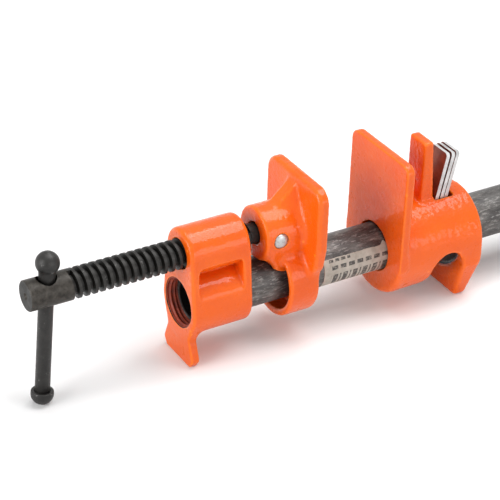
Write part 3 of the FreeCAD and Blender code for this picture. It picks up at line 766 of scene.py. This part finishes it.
def label_sheet():
    """Paper wrapped on the pipe, with a torn upper corner and slightly uneven edges."""
    columns, rows = 150, 60
    points = []
    for radius in (10.68, 10.67 + LABEL_LIFT):
        for i in range(columns + 1):
            u = i / columns
            slow = noise.noise(Vector((u * 9.0, 4.0, 0)))
            quick = noise.noise(Vector((u * 40.0, 9.0, 0)))
            flap = 9.0 * math.exp(-((u - 0.69) / 0.022) ** 2)
            top = LABEL_TOP + 10.0 + (1.6 * slow + 0.7 * quick) - flap
            for j in range(rows + 1):
                angle = math.radians(top + (LABEL_TOP + LABEL_WRAP - top) * j / rows)
                edge = 0.35 * (1 - u) ** 8 * (1 + noise.noise(Vector((j * 0.21, 7.0, 0))))
                points.append((LABEL_START + edge + LABEL_LENGTH * u, -radius * math.sin(angle),
                               radius * math.cos(angle)))
    per_row, layer = rows + 1, (columns + 1) * (rows + 1)
    faces = []
    for i in range(columns):
        for j in range(rows):
            a = i * per_row + j
            b, c, d = a + 1, a + per_row + 1, a + per_row
            faces.append((d, c, b, a))
            faces.append((a + layer, b + layer, c + layer, d + layer))
    rim = [i * per_row for i in range(columns + 1)]
    rim += [columns * per_row + j for j in range(1, rows + 1)]
    rim += [i * per_row + rows for i in range(columns - 1, -1, -1)]
    rim += list(range(rows - 1, 0, -1))
    for a, b in zip(rim, rim[1:] + rim[:1]):
        faces.append((a, a + layer, b + layer, b))
    return new_mesh("label_sheet", points, faces)


label = label_sheet()
dress(label, paper())
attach(label, "bar_and_head")
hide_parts("pipe_label")

# ---------------------------------------------------------------- the CAD's own nodes

BROKEN_EDGE = 0.4

plates = clutch_steel()
dress(nodes["clamp_screw"], oxide_screw)
dress(nodes["pipe"], black_pipe())
for name in ("clutch_plate_front", "clutch_plate_middle", "clutch_plate_rear"):
    dress(nodes[name], plates)
    worn_edges = nodes[name].modifiers.new("worn_edges", "BEVEL")
    worn_edges.width = BROKEN_EDGE * MM
    worn_edges.segments = 1
    worn_edges.limit_method = "ANGLE"
    worn_edges.angle_limit = math.radians(50)

# ---------------------------------------------------------------- floor, light and camera

# From here on, lengths are metres in the frame itself, apart from the camera's.
REACH = 6.0
floor_mesh = bpy.data.meshes.new("floor")
floor_mesh.from_pydata([(-REACH, -REACH, 0), (REACH, -REACH, 0), (REACH, REACH, 0), (-REACH, REACH, 0)], [],
                       [(0, 1, 2, 3)])
floor = bpy.data.objects.new("floor", floor_mesh)
bpy.context.scene.collection.objects.link(floor)


def seen_rays(tree):
    """1 on rays from the camera, off gloss and through glass, and 0 on the rays that only carry light."""
    rays = tree.nodes.new("ShaderNodeLightPath").outputs
    factor = rays["Is Camera Ray"]
    for name in ("Is Glossy Ray", "Is Transmission Ray"):
        either = tree.nodes.new("ShaderNodeMath")
        either.operation = "MAXIMUM"
        tree.links.new(factor, either.inputs[0])
        tree.links.new(rays[name], either.inputs[1])
        factor = either.outputs[0]
    return factor


def floor_white():
    """White floor that keeps the object's shadow. It glows more the farther it is from the object."""
    m = Nodes("floor_white")
    place = m.place()
    beyond = m.math("MAXIMUM", m.math("SUBTRACT", m.math("ABSOLUTE", place["X"]), pipe_high[0]), 0.0)
    squares = m.math("ADD", m.math("MULTIPLY", beyond, beyond), m.math("MULTIPLY", place["Y"], place["Y"]))
    away = m.math("SQRT", squares)
    glow = m.add("Emission", Strength=m.ramp(away, (0.06, 0.10), (0.18, 0.16), (0.6, 1.0)))
    m.set(Base_Color=(0.86, 0.86, 0.86, 1), Roughness=0.9, Specular_IOR_Level=0.1)
    lit = m.add("AddShader")
    m.tree.links.new(m.shader.outputs[0], lit.inputs[0])
    m.tree.links.new(glow.outputs[0], lit.inputs[1])
    seen = m.add("MixShader", Fac=seen_rays(m.tree))
    m.tree.links.new(m.shader.outputs[0], seen.inputs[1])
    m.tree.links.new(lit.outputs[0], seen.inputs[2])
    m.tree.links.new(seen.outputs[0], m.tree.nodes["Material Output"].inputs[0])
    return m.material


dress(floor, floor_white())

WORLD_LIGHT, WORLD_SEEN = 0.26, 1.0


def studio_world():
    """Even soft light from all round, which is white where it is seen."""
    world = bpy.data.worlds.new("studio")
    bpy.context.scene.world = world
    world.use_nodes = True
    tree = world.node_tree
    background = tree.nodes["Background"]
    background.inputs["Color"].default_value = (1, 1, 1, 1)
    level = tree.nodes.new("ShaderNodeMapRange")
    level.inputs["To Min"].default_value = WORLD_LIGHT
    level.inputs["To Max"].default_value = WORLD_SEEN
    tree.links.new(seen_rays(tree), level.inputs["Value"])
    tree.links.new(level.outputs["Result"], background.inputs["Strength"])


studio_world()


def area(name, place, aim, width, height, power):
    """Rectangular lamp at a place, facing another."""
    data = bpy.data.lights.new(name, "AREA")
    data.shape = "RECTANGLE"
    data.size, data.size_y = width, height
    data.energy = power
    lamp = bpy.data.objects.new(name, data)
    lamp.location = place
    lamp.rotation_euler = (Vector(place) - Vector(aim)).to_track_quat("Z", "Y").to_euler()
    bpy.context.scene.collection.objects.link(lamp)


CENTRE = (-0.2, 0, 0.03)
area("key_top", (-0.15, 0.10, 1.1), CENTRE, 0.65, 0.6, 5.2)
area("key_right", (0.28, -0.12, 1.05), CENTRE, 0.9, 0.4, 7.0)
area("fill_left", (-1.3, -0.10, 0.40), CENTRE, 0.7, 0.7, 9.5)
area("fill_front", (0.15, -1.25, 0.34), CENTRE, 1.0, 0.45, 4.6)

# The camera's place, in millimetres from the head's front face and the pipe's axis, and its angles.
CAMERA_PLACE = (-321.65, -582.31, 436.79)
AZIMUTH, ELEVATION, ROLL = (math.radians(v) for v in (-31.45, 31.66, 1.95))
SENSOR_WIDTH, FOCAL_LENGTH = 36.0, 136.87


def make_camera():
    """Camera at the photograph's viewing angle."""
    data = bpy.data.cameras.new("camera")
    data.sensor_width = SENSOR_WIDTH
    data.lens = FOCAL_LENGTH
    camera = bpy.data.objects.new("camera", data)
    level = math.cos(ELEVATION)
    back = Vector((math.sin(AZIMUTH) * level, -math.cos(AZIMUTH) * level, math.sin(ELEVATION)))
    across = Vector((math.cos(AZIMUTH), math.sin(AZIMUTH), 0))
    upright = back.cross(across)
    right = across * math.cos(ROLL) + upright * math.sin(ROLL)
    up = upright * math.cos(ROLL) - across * math.sin(ROLL)
    position = (Vector(CAMERA_PLACE) + SHIFT) * MM
    camera.matrix_world = Matrix((
        (right.x, up.x, back.x, position.x),
        (right.y, up.y, back.y, position.y),
        (right.z, up.z, back.z, position.z),
        (0, 0, 0, 1),
    ))
    bpy.context.scene.collection.objects.link(camera)
    return camera


bpy.context.scene.camera = make_camera()
bpy.context.scene.view_settings.view_transform = "Standard"
